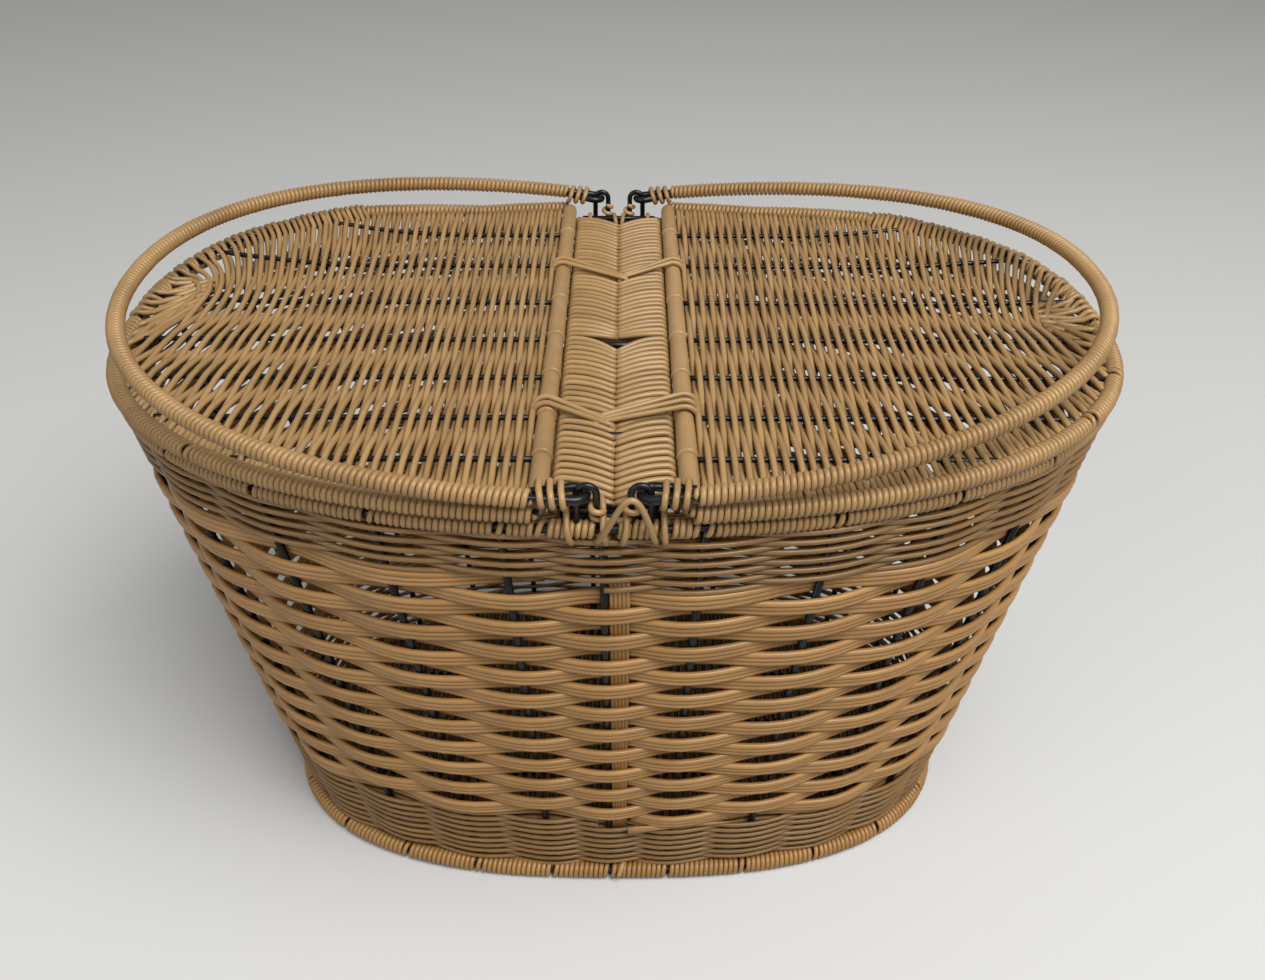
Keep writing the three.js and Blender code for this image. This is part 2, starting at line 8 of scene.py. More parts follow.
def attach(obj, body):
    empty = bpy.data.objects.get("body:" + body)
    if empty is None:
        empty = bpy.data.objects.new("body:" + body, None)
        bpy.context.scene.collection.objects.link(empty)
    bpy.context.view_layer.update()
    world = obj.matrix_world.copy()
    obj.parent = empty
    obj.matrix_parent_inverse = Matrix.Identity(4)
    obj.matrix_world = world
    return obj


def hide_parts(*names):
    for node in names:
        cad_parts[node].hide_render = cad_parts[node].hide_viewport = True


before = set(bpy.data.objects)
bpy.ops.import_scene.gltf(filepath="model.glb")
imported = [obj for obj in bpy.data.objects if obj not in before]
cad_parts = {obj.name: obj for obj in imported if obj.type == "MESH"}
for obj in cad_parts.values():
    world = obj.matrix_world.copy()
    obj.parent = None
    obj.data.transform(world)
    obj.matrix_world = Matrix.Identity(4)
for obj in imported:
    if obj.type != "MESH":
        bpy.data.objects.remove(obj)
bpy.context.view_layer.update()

# Wire frame of the body: a rim ring, a base ring, 25 stakes and five floor wires.
# It is black painted steel wire, welded where the wires cross, and carries all the cane.
WIRE = 0.0030
CROSS_WIRE = 0.0026
STAKE_WIRE = 0.0034
STAKE_TUCK = 0.0030
BASE_OVAL = (0.1746, 0.1088, 2.57)
RIM_OVAL = (0.2260, 0.1590, 2.2)
BASE_HEIGHT = 0.0042
RIM_HEIGHT = 0.2497
STAKES = 25
FRONT_STAKE = 0.7467
FRONT_SPAN = 0.76
FLOOR_WIRES_Y = (-0.082, -0.041, 0.0, 0.041, 0.082)
BLACK_PAINT = (0.004, 0.004, 0.0045, 1.0)
UP = np.array((0.0, 0.0, 1.0))
OFF_STAKES = np.array((0.31, 0.95, 0.0))
ARC_POINTS = 14401
RING_STEPS = 6
TONE_LENGTH = 0.22
rng = np.random.default_rng(24)


def unit(vectors):
    """The same directions, each of length one."""
    return vectors / np.linalg.norm(vectors, axis=-1, keepdims=True)


def oval_points(oval, angles, height):
    """Points of a superellipse at one height, and the level directions straight out of it."""
    half_x, half_y, power = oval
    c, s = np.cos(angles), np.sin(angles)
    bulge = lambda value: np.sign(value) * np.abs(value) ** (2 / power)
    steep = lambda value: np.sign(value) * np.abs(value) ** (2 - 2 / power)
    level = np.zeros_like(c)
    points = np.stack((half_x * bulge(c), half_y * bulge(s), level + height), -1)
    return points, unit(np.stack((steep(c) / half_x, steep(s) / half_y, level), -1))


def oval_y(oval, x):
    """How far to the rear an oval reaches at one x."""
    half_x, half_y, power = oval
    return half_y * max(0.0, 1 - abs(x / half_x) ** power) ** (1 / power)


def oval_x(oval, y):
    """How far to the right an oval reaches at one y."""
    half_x, half_y, power = oval
    return oval_y((half_y, half_x, power), y)


ARC_ANGLES = np.linspace(0, 2 * math.pi, ARC_POINTS)
stake_places = np.array((0, *(FRONT_SPAN + np.arange(STAKES - 1)), STAKES - 2 + 2 * FRONT_SPAN))
STAKE_SHARES = FRONT_STAKE + stake_places / stake_places[-1]


def path_lengths(path):
    """Lengths along a path from its start to each of its points."""
    return np.append(0, np.cumsum(np.linalg.norm(np.diff(path, axis=0), axis=1)))


def even_oval(oval, stations, height):
    """Points of an oval and their outward directions, at places counted in stakes from the front one."""
    dense, _ = oval_points(oval, ARC_ANGLES, height)
    lengths = path_lengths(dense)
    shares = np.mod(np.interp(np.mod(stations, STAKES), np.arange(STAKES + 1), STAKE_SHARES), 1)
    return oval_points(oval, np.interp(shares * lengths[-1], lengths, ARC_ANGLES), height)


def tubes(name, runs, radius, facing=UP, sides=8, closed=False, wide=1.0):
    """One mesh of rods along runs of points. Facing is a direction, or a list, that no run follows."""
    turn = 2 * math.pi * np.arange(sides) / sides
    points, faces, uvs, tones = [], [], [], []
    first = 0
    for index, run in enumerate(runs):
        run = np.asarray(run, float)
        count = len(run)
        off = facing[index] if isinstance(facing, list) else facing
        along = np.roll(run, -1, 0) - np.roll(run, 1, 0)
        if not closed:
            along[0] = run[1] - run[0]
            along[-1] = run[-1] - run[-2]
        along = unit(along)
        across = unit(np.cross(along, off))
        top = np.cross(across, along)
        ring = np.cos(turn)[:, None, None] * across + wide * np.sin(turn)[:, None, None] * top
        rounds = run + np.broadcast_to(radius, count)[:, None] * ring
        points.append(rounds.transpose(1, 0, 2).reshape(-1, 3))
        length = path_lengths(np.vstack((run, run[:1])))
        spans = count if closed else count - 1
        i, j = np.divmod(np.arange(spans * sides), sides)
        a = first + i * sides
        b = first + (i + 1) % count * sides
        k = (j + 1) % sides
        faces.extend(np.stack((a + j, a + k, b + k, b + j), -1).tolist())
        low, high = length[i], length[i + 1]
        left, right = j / sides, (j + 1) / sides
        uvs.append(np.stack((low, left, low, right, high, right, high, left), -1).ravel())
        if not closed:
            faces.append(list(range(first + sides - 1, first - 1, -1)))
            faces.append(list(range(first + spans * sides, first + count * sides)))
            uvs.append(np.zeros(2 * sides))
            uvs.append(np.full(2 * sides, length[spans]))
        knots = rng.random(int(length[-1] / TONE_LENGTH) + 2)
        tone = np.interp(length[:count] / TONE_LENGTH, np.arange(len(knots)), knots)
        tones.append(np.repeat(tone, sides))
        first += count * sides
    mesh = bpy.data.meshes.new(name)
    mesh.from_pydata(np.concatenate(points).tolist(), [], faces)
    mesh.uv_layers.new(name="along").data.foreach_set("uv", np.concatenate(uvs))
    mesh.attributes.new("tone", "FLOAT", "POINT").data.foreach_set("value", np.concatenate(tones))
    mesh.shade_smooth()
    piece = bpy.data.objects.new(name, mesh)
    bpy.context.collection.objects.link(piece)
    return piece


def shader(material, kind, **sockets):
    """A new shader node with its sockets set."""
    node = material.node_tree.nodes.new(kind)
    for socket, value in sockets.items():
        node.inputs[socket.replace("_", " ")].default_value = value
    return node


def black_wire():
    """Black paint on drawn wire, with a fine orange-peel surface."""
    material = bpy.data.materials.new("black_wire")
    material.use_nodes = True
    finish = material.node_tree.nodes["Principled BSDF"]
    finish.inputs["Base Color"].default_value = BLACK_PAINT
    finish.inputs["Specular IOR Level"].default_value = 0.35
    link = material.node_tree.links.new
    place = shader(material, "ShaderNodeTexCoord")
    peel = shader(material, "ShaderNodeTexNoise", Scale=900.0, Detail=2.0)
    wear = shader(material, "ShaderNodeTexNoise", Scale=120.0, Detail=3.0)
    gloss = shader(material, "ShaderNodeMapRange", To_Min=0.22, To_Max=0.42)
    bump = shader(material, "ShaderNodeBump", Strength=0.12, Distance=0.0002)
    link(place.outputs["Object"], peel.inputs["Vector"])
    link(place.outputs["Object"], wear.inputs["Vector"])
    link(wear.outputs["Fac"], gloss.inputs["Value"])
    link(gloss.outputs["Result"], finish.inputs["Roughness"])
    link(peel.outputs["Fac"], bump.inputs["Height"])
    link(bump.outputs["Normal"], finish.inputs["Normal"])
    return material


def settle(piece, body, slot, material, *nodes):
    """Gives a piece its material, the body it rides on and the nodes that it stands for."""
    piece.data.materials.append(material)
    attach(piece, body)
    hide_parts(*nodes)


WIRE_FINISH = black_wire()
RING_STATIONS = np.arange(0, STAKES, 1 / RING_STEPS)
base_ring, _ = even_oval(BASE_OVAL, RING_STATIONS, BASE_HEIGHT)
rim_ring, _ = even_oval(RIM_OVAL, RING_STATIONS, RIM_HEIGHT)
rings = tubes("body_rings", [base_ring, rim_ring], WIRE / 2, sides=6, closed=True)
stake_feet, feet_out = even_oval(BASE_OVAL, np.arange(STAKES), BASE_HEIGHT)
stake_heads, _ = even_oval(RIM_OVAL, np.arange(STAKES), RIM_HEIGHT)
stakes = np.stack((stake_feet - STAKE_TUCK * feet_out, stake_heads), 1)
floor_wires = [[(-oval_x(BASE_OVAL, y), y, BASE_HEIGHT), (oval_x(BASE_OVAL, y), y, BASE_HEIGHT)]
               for y in FLOOR_WIRES_Y]
stake_wires = tubes("stakes", list(stakes), STAKE_WIRE / 2, facing=OFF_STAKES)
floor_rods = tubes("floor_wires", floor_wires, CROSS_WIRE / 2)
for piece in (rings, stake_wires, floor_rods):
    settle(piece, "basket", "wire", WIRE_FINISH, "body_frame")

# Cane bound round the base ring: one strand of round plastic cane wound tight on the wire.
# Each stake pushes two turns apart, and a turn slants across the gap with the wire showing.
# The strand's end is brought over the front of the binding as a loose half turn.
STRAND = 0.0025
WALL_CANE_DARK = (0.250, 0.127, 0.036, 1.0)
WALL_CANE_LIGHT = (0.420, 0.226, 0.074, 1.0)
TURN_POINTS = 12
SPOT_STEP = 0.0003
LOOSENESS = 0.0001
END_RADIUS = 0.25
END_GROWTH = 1.5
BINDING_STEPS = 24
BASE_GAP = 0.0018
BASE_TURN = 0.0034
BASE_LIFT = 0.0001
BASE_WINDING_HEIGHT = BASE_TURN + STRAND / 2 + BASE_LIFT
KNOT_X = 0.0012
KNOT_SLANT = 0.0018
KNOT_REACH = BASE_TURN + 0.7 * STRAND
KNOT_BEND = (0.02 * math.pi, math.pi)
KNOT_POINTS = 12
ALONG_X = np.array((1.0, 0.0, 0.0))


def cane(name, dark, light):
    """Satin plastic cane: a tone of its own for each strand, soft mottling and drawn lines."""
    material = bpy.data.materials.new(name)
    material.use_nodes = True
    finish = material.node_tree.nodes["Principled BSDF"]
    finish.inputs["Specular IOR Level"].default_value = 0.45
    link = material.node_tree.links.new
    tone = shader(material, "ShaderNodeAttribute")
    tone.attribute_name = "tone"
    place = shader(material, "ShaderNodeTexCoord")
    mottle = shader(material, "ShaderNodeTexNoise", Scale=70.0, Detail=4.0, Roughness=0.6)
    link(place.outputs["Object"], mottle.inputs["Vector"])
    stretch = shader(material, "ShaderNodeMapping", Scale=(60.0, 14.0, 1.0))
    link(place.outputs["UV"], stretch.inputs["Vector"])
    lines = shader(material, "ShaderNodeTexNoise", Scale=1.0, Detail=3.0)
    link(stretch.outputs["Vector"], lines.inputs["Vector"])

    def mixed(first, second, share):
        node = shader(material, "ShaderNodeMath")
        node.operation = "MULTIPLY_ADD"
        node.inputs[1].default_value = share
        link(first, node.inputs[0])
        link(second, node.inputs[2])
        return node.outputs["Value"]

    half_tone = shader(material, "ShaderNodeMapRange", To_Min=-0.10, To_Max=0.30)
    link(tone.outputs["Fac"], half_tone.inputs["Value"])
    mottled_tone = mixed(mottle.outputs["Fac"], half_tone.outputs["Result"], 0.55)
    shade = mixed(lines.outputs["Fac"], mottled_tone, 0.25)
    ramp = shader(material, "ShaderNodeValToRGB")
    ramp.color_ramp.elements[0].position = 0.15
    ramp.color_ramp.elements[0].color = dark
    ramp.color_ramp.elements[1].position = 0.85
    ramp.color_ramp.elements[1].color = light
    link(shade, ramp.inputs["Fac"])
    link(ramp.outputs["Color"], finish.inputs["Base Color"])
    gloss = shader(material, "ShaderNodeMapRange", To_Min=0.28, To_Max=0.44)
    link(mottle.outputs["Fac"], gloss.inputs["Value"])
    link(gloss.outputs["Result"], finish.inputs["Roughness"])
    bump = shader(material, "ShaderNodeBump", Strength=0.25, Distance=0.0002)
    link(lines.outputs["Fac"], bump.inputs["Height"])
    link(bump.outputs["Normal"], finish.inputs["Normal"])
    return material


def wound(path, out, pitch=STRAND, gaps=(), radius=WIRE / 2 + STRAND / 2, closed=False):
    """Cane wound round a path at a pitch that may change; at each gap one turn steps wider."""
    if closed:
        path, out = np.vstack((path, path[:1])), np.vstack((out, out[:1]))
    lengths = path_lengths(path)
    spots = np.linspace(0, lengths[-1], int(lengths[-1] / SPOT_STEP))
    steps = np.interp(spots, lengths, np.broadcast_to(pitch, lengths.shape))
    for place, size in gaps:
        steps[np.abs(spots - place) < (STRAND + size) / 2] = STRAND + size
    counts = np.append(0, np.cumsum(np.diff(spots) / steps[:-1]))
    if closed:
        counts *= round(counts[-1]) / counts[-1]
    number = np.linspace(0, counts[-1], int(round(counts[-1]) * TURN_POINTS) + 1)
    reach = np.interp(number, counts, spots)
    spot = np.stack([np.interp(reach, lengths, path[:, k]) for k in range(3)], -1)
    side = unit(np.stack([np.interp(reach, lengths, out[:, k]) for k in range(3)], -1))
    along = unit(np.gradient(spot, axis=0))
    top = np.cross(side, along)
    loose = radius + LOOSENESS * np.interp(number, np.arange(len(number)), rng.uniform(-1, 1, len(number)))
    if not closed:
        from_end = np.minimum(number, number[-1] - number)
        loose = loose * np.clip(END_RADIUS + END_GROWTH * from_end, 0, 1)
    swing = 2 * math.pi * number
    coil = spot + (loose * np.cos(swing))[:, None] * side + (loose * np.sin(swing))[:, None] * top
    if closed:
        return coil[:-1], along[:-1]
    return coil, along


def winding(name, path, out, closed=False, **turns):
    """A mesh of cane wound round a path."""
    coil, along = wound(path, out, closed=closed, **turns)
    return tubes(name, [coil], STRAND / 2, facing=[along], sides=6, closed=closed)


WALL_FINISH = cane("wall_cane", WALL_CANE_DARK, WALL_CANE_LIGHT)
BINDING_STATIONS = np.arange(0.5, STAKES + 0.5, 1 / BINDING_STEPS)


def ring_winding(name, oval, height, gap, radius, node, finish, more_gaps=()):
    """Cane wound round a ring of wire, with a gap at each stake and more gaps by x, end and size."""
    path, out = even_oval(oval, BINDING_STATIONS, height)
    lengths = path_lengths(path)
    gaps = [(np.interp(stake, BINDING_STATIONS, lengths), gap) for stake in range(1, STAKES + 1)]
    for x, end, size in more_gaps:
        place = np.argmin(np.abs(path[:, 0] - x) + np.where(path[:, 1] * end > 0, 0, 1))
        gaps.append((lengths[place], size))
    piece = winding(name, path, out, closed=True, gaps=gaps, radius=radius)
    settle(piece, "basket", "cane", finish, node)


ring_winding("base_winding", BASE_OVAL, BASE_WINDING_HEIGHT, BASE_GAP, BASE_TURN, "base_binding",
             WALL_FINISH)
knot_turn = np.linspace(*KNOT_BEND, KNOT_POINTS)
knot_run = np.stack((KNOT_X + KNOT_SLANT * knot_turn, -BASE_OVAL[1] - KNOT_REACH * np.cos(knot_turn),
                     BASE_WINDING_HEIGHT + KNOT_REACH * np.sin(knot_turn)), -1)
base_knot = tubes("base_knot", [knot_run], STRAND / 2, facing=ALONG_X)
settle(base_knot, "basket", "cane", WALL_FINISH, "base_binding")

# Woven floor: cane strands from front to rear, over and under the five floor wires.
# The strands end on the base ring, inside its binding; their cane is painted darker, as painted shade
# inside the basket.
FLOOR_HALF_X = 0.168
FLOOR_PITCH = 0.0026
FLOOR_RISE = 0.0006
# Floor cane colours: the wall's cane painted much darker, as painted shade for the dim inside of the
# basket under the lids.
FLOOR_SHADED_CANE_DARK = (0.110, 0.060, 0.020, 1.0)
FLOOR_SHADED_CANE_LIGHT = (0.200, 0.115, 0.042, 1.0)
STRAND_STEP = 0.0068
WEAVE_SWING = (CROSS_WIRE + STRAND) / 2
BEYOND_WIRES = 0.04
SETTLE_FROM = 0.86


def over_under(y, wires_y, parity, swing=WEAVE_SWING):
    """Height of a strand that goes over and under wires at given places."""
    outer = (wires_y[0] - BEYOND_WIRES, *wires_y, wires_y[-1] + BEYOND_WIRES)
    phase = np.interp(y, outer, np.arange(len(outer)))
    return swing * np.cos(math.pi * (phase + parity))


def settle_ends(share):
    """Fades a strand's swing to nothing where it reaches the rim."""
    return 1 - np.clip((np.abs(share) - SETTLE_FROM) / (1 - SETTLE_FROM), 0, 1)


floor_runs = []
for i, x in enumerate(np.arange(-FLOOR_HALF_X, FLOOR_HALF_X, FLOOR_PITCH)):
    end_y = oval_y(BASE_OVAL, x)
    share = np.linspace(-1, 1, max(6, int(2 * end_y / STRAND_STEP)))
    y = share * end_y
    z = BASE_HEIGHT + FLOOR_RISE + over_under(y, FLOOR_WIRES_Y, i) * settle_ends(share)
    floor_runs.append(np.stack((np.full_like(y, x), y, z), -1))
floor_weave = tubes("floor_weave", floor_runs, STRAND / 2, sides=6)
# Floor cane material with painted shade: its colours are darker to stand for the shade inside the basket.
FLOOR_SHADED_FINISH = cane("floor_cane_painted_shade", FLOOR_SHADED_CANE_DARK, FLOOR_SHADED_CANE_LIGHT)
settle(floor_weave, "basket", "cane", FLOOR_SHADED_FINISH, "floor_mat")

# Wall: three canes that climb round the stakes together, inside one stake and outside the next.
# At the foot and under the rim they take turns as single strands, in cane painted darker: a little darker
# tone of its own, and mostly painted shade of the rim and the foot.
# Between, they lie side by side as a ribbon, which is tucked in where it ends.
CANES = 3
WALL_FOOT = 0.0081
MAIN_FOOT = 0.0451
MAIN_TOP = 0.2224
WALL_TOP = 0.2478
RIBBON_TURNS = 21
LOWER_TURNS = 5
UPPER_TURNS = 4
UPPER_CLOSENESS = 0.97
RIBBON_PITCH = (MAIN_TOP - MAIN_FOOT) / (RIBBON_TURNS + 1)
RIB_PITCH = 0.00245
RIB = 0.0030
RIBBON_SWING = 0.0030
RIBBON_START = 0.35
RIBBON_SHORT = 0.6
RIBBON_TUCK = 0.0060
WANDER = 0.00025
WANDER_RATE = 0.9
FINE_STRAND = 0.0022
# Fine strand colours: a little darker in their own tone, and painted darker still as painted shade under
# the rim and at the foot.
FINE_SHADED_CANE_DARK = (0.140, 0.073, 0.0205, 1.0)
FINE_SHADED_CANE_LIGHT = (0.258, 0.136, 0.0405, 1.0)
TOP_STRAND = 0.0024
FINE_SWING = 0.0024
STAKE_STEPS = 6


def wall(stations, heights, outward):
    """Points of the wall at places counted in stakes, standing out from the stakes."""
    foot, foot_out = even_oval(BASE_OVAL, stations, BASE_HEIGHT)
    head, head_out = even_oval(RIM_OVAL, stations, RIM_HEIGHT)
    foot = foot - STAKE_TUCK * foot_out
    share = ((heights - BASE_HEIGHT) / (RIM_HEIGHT - BASE_HEIGHT))[:, None]
    out = unit(foot_out + (head_out - foot_out) * share)
    return foot + (head - foot) * share + outward[:, None] * out


def woven(stations, heights, phase, swing, tuck=0.0):
    """A cane that passes inside one stake and outside the next, with ends that may be tucked in."""
    wander = WANDER * np.sin(stations * WANDER_RATE + rng.uniform(0, 2 * math.pi))
    return wall(stations, heights + wander, -swing * np.cos(math.pi * (stations + phase)) - tuck)


def fine_strands(start, pitch, first, turns, low, high):
    """Three single strands that climb a band, each out where its neighbours are in."""
    stations = np.arange(first, turns * STAKES, 1 / STAKE_STEPS)
    runs = []
    for cane_number in range(CANES):
        heights = start + pitch * (stations / STAKES + (cane_number + 0.5) / CANES)
        seen = (heights > low) & (heights < high)
        runs.append(woven(stations[seen], heights[seen], cane_number, FINE_SWING))
    return runs


ribbon_stations = np.arange(RIBBON_START, RIBBON_TURNS * STAKES - RIBBON_SHORT, 1 / STAKE_STEPS)
ribbon_middle = MAIN_FOOT + RIBBON_PITCH * (ribbon_stations / STAKES + 0.5)
ribbon_tuck = RIBBON_TUCK * np.clip(ribbon_stations - ribbon_stations[-1] + 1, 0, 1) ** 2
ribbon_runs = [woven(ribbon_stations, ribbon_middle + (rib - 1) * RIB_PITCH, 0, RIBBON_SWING, ribbon_tuck)
               for rib in range(CANES)]
lower_runs = fine_strands(WALL_FOOT, (MAIN_FOOT - WALL_FOOT) / LOWER_TURNS, -STAKES, LOWER_TURNS,
                          WALL_FOOT + STRAND / 4, MAIN_TOP)
upper_runs = fine_strands(MAIN_TOP - RIBBON_PITCH, UPPER_CLOSENESS * RIBBON_PITCH, 0, UPPER_TURNS + 1,
                          MAIN_FOOT, WALL_TOP - STRAND / 4)
lower_weave = tubes("lower_wall_weave", lower_runs, FINE_STRAND / 2)
ribbon_weave = tubes("ribbon_wall_weave", ribbon_runs, RIB / 2)
upper_weave = tubes("upper_wall_weave", upper_runs, TOP_STRAND / 2)
# Fine cane material with painted shade: darker colours stand for the shade of the rim's overhang and the
# foot.
FINE_SHADED_FINISH = cane("fine_cane_painted_shade", FINE_SHADED_CANE_DARK, FINE_SHADED_CANE_LIGHT)
settle(lower_weave, "basket", "cane", FINE_SHADED_FINISH, "lower_weave")
settle(ribbon_weave, "basket", "cane", WALL_FINISH, "main_weave")
settle(upper_weave, "basket", "cane", FINE_SHADED_FINISH, "upper_weave")

# Start of the ribbon: a flat, ribbed cane is laid against the front stake, held by the ribbon's turns.
# The ribbon's first end lies loose beside it as a flat tongue.
STARTER_RIBS = 5
STARTER_PITCH = 0.0015
STARTER_RADIUS = 0.0009
STARTER_FIRST = 0.0026
STARTER_BELOW = 0.004
STARTER_MIDDLE = 0.13
STARTER_POINTS = 12
TONGUE_STATIONS = (0.30, 1.75)
TONGUE_DROP = 0.0014
TONGUE_ARCH = 0.0010
TONGUE_OUT = 0.0040
TONGUE_TURN_IN = 0.0030
TONGUE_RADIUS = 0.0010
TONGUE_TAPER = 0.75
TONGUE_FLATNESS = 2.3
TONGUE_POINTS = 14
ALONG_Y = np.array((0.0, 1.0, 0.0))
starter_heights = np.linspace(MAIN_FOOT - STARTER_BELOW, MAIN_TOP, STARTER_POINTS)
front_stakes = wall(np.array((0.0, 1.0)), np.full(2, STARTER_MIDDLE), np.zeros(2))
front_span = np.linalg.norm(np.diff(front_stakes, axis=0))
starter_runs = []
for rib in range(STARTER_RIBS):
    station = (STARTER_FIRST + rib * STARTER_PITCH) / front_span
    starter_runs.append(wall(np.full(STARTER_POINTS, station), starter_heights, np.zeros(STARTER_POINTS)))
starter = tubes("starter_cane", starter_runs, STARTER_RADIUS, facing=ALONG_Y)
settle(starter, "basket", "cane", WALL_FINISH, "main_weave")
tongue_stations = np.linspace(*TONGUE_STATIONS, TONGUE_POINTS)
tongue_share = np.linspace(0, 1, TONGUE_POINTS)
tongue_heights = MAIN_FOOT - TONGUE_DROP + TONGUE_ARCH * np.sin(math.pi * tongue_share)
tongue_run = wall(tongue_stations, tongue_heights, TONGUE_OUT - TONGUE_TURN_IN * tongue_share)
tongue_radius = TONGUE_RADIUS * (1 - TONGUE_TAPER * tongue_share)
ribbon_tongue = tubes("ribbon_tongue", [tongue_run], tongue_radius, wide=TONGUE_FLATNESS)
settle(ribbon_tongue, "basket", "cane", WALL_FINISH, "main_weave")

# Cane bound round the rim ring, as round the base.
# The strand crosses each stake's head, and the feet of the handles' arches, with one slanting turn.
CANE_DARK = (0.238, 0.136, 0.049, 1.0)
CANE_LIGHT = (0.400, 0.242, 0.100, 1.0)
RIM_GAP = 0.0026
ARCH_GAPS = ((-0.0025, -1, 0.0060), (0.0195, -1, 0.0024), (0.0330, -1, 0.0030),
             (-0.0270, -1, 0.0026), (0.0, 1, 0.0060))
CANE_FINISH = cane("cane", CANE_DARK, CANE_LIGHT)
ring_winding("rim_winding", RIM_OVAL, RIM_HEIGHT, RIM_GAP, WIRE / 2 + STRAND / 2, "rim_binding",
             CANE_FINISH, ARCH_GAPS)

# Centre strip: a wire ladder across the mouth, covered with cane in a herringbone.
# Each strand turns round an edge wire and dips to the middle, where the two columns meet in a valley.
# Straight strands below close the gaps between them, and one long cane runs under each edge.
SIDES = (("left", -1), ("right", 1))
STRIP_HEIGHT = 0.2555
STRIP_X = 0.0202
STRIP_END = 0.1517
STAY_Y = 0.1535
STAY_HEIGHT = 0.2518
STRIP_RUNGS_Y = (-0.100, -0.016, 0.100)
STRIP_CANE = (-0.1520, 0.1450)
STRIP_PITCH = 0.0049
STRIP_STRAND = 0.0026
STRIP_SLANT = 0.0048
STRIP_VALLEY = 0.0026
VALLEY_POWER = 1.5
STRIP_CROWN = 0.0008
STRIP_JITTER = 0.0002
STRIP_SLIT = -0.0160
SLIT_OPENING = 0.0075
SLIT_FADE = 0.0070
SLIT_BARE = 1.5 * STRIP_PITCH
EDGE_BEND = (-0.75 * math.pi, 0.5 * math.pi)
STRIP_POINTS = 9
OFF_STRIP = ALONG_Y + 0.2 * UP
EDGE_CANE_X = 0.0235
EDGE_CANE_HEIGHT = 0.2530
STRIP_BACK = STRIP_HEIGHT - WIRE / 2 - STRAND / 2
edge_wires = [[(side * STRIP_X, -STRIP_END, STRIP_HEIGHT), (side * STRIP_X, STRIP_END, STRIP_HEIGHT)]
              for _, side in SIDES]
rungs = [[(-STRIP_X, y, STRIP_HEIGHT), (STRIP_X, y, STRIP_HEIGHT)]
         for y in (-STRIP_END, *STRIP_RUNGS_Y, STRIP_END)]
stays = [[(-STRIP_X, y, STAY_HEIGHT), (STRIP_X, y, STAY_HEIGHT)] for y in (-STAY_Y, STAY_Y)]
strip_ladder = tubes("strip_ladder", edge_wires + rungs + stays, WIRE / 2)
settle(strip_ladder, "basket", "wire", WIRE_FINISH, "strip_frame")


def strip_strand(side, y, parting):
    """One strand: round the edge wire, then over the strip to the valley."""
    grip = WIRE / 2 + STRAND / 2
    bend = np.linspace(*EDGE_BEND, STRIP_POINTS)
    edge = np.stack((STRIP_X + grip * np.cos(bend), np.zeros(STRIP_POINTS), grip * np.sin(bend)), -1)
    run = np.linspace(0, 1, STRIP_POINTS)[1:]
    drop = STRIP_VALLEY * run ** VALLEY_POWER
    crown = STRIP_CROWN * np.sin(math.pi * run)
    top = np.stack((STRIP_X * (1 - run), parting * run ** 2 - STRIP_SLANT * run, grip + crown - drop), -1)
    path = np.vstack((edge, top))
    return np.stack((side * path[:, 0], y + path[:, 1], STRIP_HEIGHT + path[:, 2]), -1)


strip_runs = []
for _, side in SIDES:
    for y in np.arange(STRIP_CANE[0] + STRIP_SLANT, STRIP_CANE[1], STRIP_PITCH):
        beyond = y - STRIP_SLANT - STRIP_SLIT
        parting = math.copysign(SLIT_OPENING * math.exp(-abs(beyond) / SLIT_FADE), beyond)
        strip_runs.append(strip_strand(side, y + rng.normal(0, STRIP_JITTER), parting))
        if abs(beyond) > SLIT_BARE:
            back_y = y + STRIP_PITCH / 2
            back = (side * STRIP_X, back_y, STRIP_BACK), (0.0, back_y - STRIP_SLANT, STRIP_BACK)
            strip_runs.append(np.array(back))
for _, side in SIDES:
    strip_runs.append(np.array([(side * EDGE_CANE_X, y, EDGE_CANE_HEIGHT) for y in STRIP_CANE]))
strip_cane = tubes("strip_herringbone", strip_runs, STRIP_STRAND / 2, facing=OFF_STRIP, sides=10)
settle(strip_cane, "basket", "cane", CANE_FINISH, "strip_mat")

# Ties of cane: a few turns hold each hinge tube to the strip, and single turns hold the strip to the rim.
# The ends of a hinge tie run on across the strip and are tucked under the herringbone.
# One loose loop stands up from the rim in front of the right handle's hook.
ENDS = (("front", -1), ("rear", 1))
HINGE_X = 0.0285
LID_HEIGHT = 0.2580
LID_WIRES_Y = (-0.123, -0.090, -0.054, -0.016, 0.026, 0.073, 0.117)
TIE_FROM_WIRE = 0.0055
TIE_PITCH = 0.0056
VALLEY_PITCH = 0.0024
TAIL_SLANT = 0.0110
TAIL_RISE = 0.0030
TAIL_TUCK = (0.0020, 0.0008, 0.0010)
TAIL_STAGGER = 0.3
TAIL_POINTS = 11
TAIL_X = {("left", "front"): 0.0020, ("right", "front"): -0.0080,
          ("left", "rear"): -0.0040, ("right", "rear"): 0.0020}
TIE_TURNS = {("left", "front"): 2, ("right", "front"): 3, ("left", "rear"): 2, ("right", "rear"): 2}
BOUND = WIRE / 2 + STRAND
TIE_CLEARANCE = 0.0004
LOOP = BOUND + TIE_CLEARANCE + STRAND / 2
LOOP_BEND = (-0.5 * math.pi, 0.55 * math.pi)
LOOP_POINTS = 12
RIM_LOOP = BOUND + STRAND / 2
BAR_GRIP = 0.0018
REAR_TURN_DROP = 0.0030
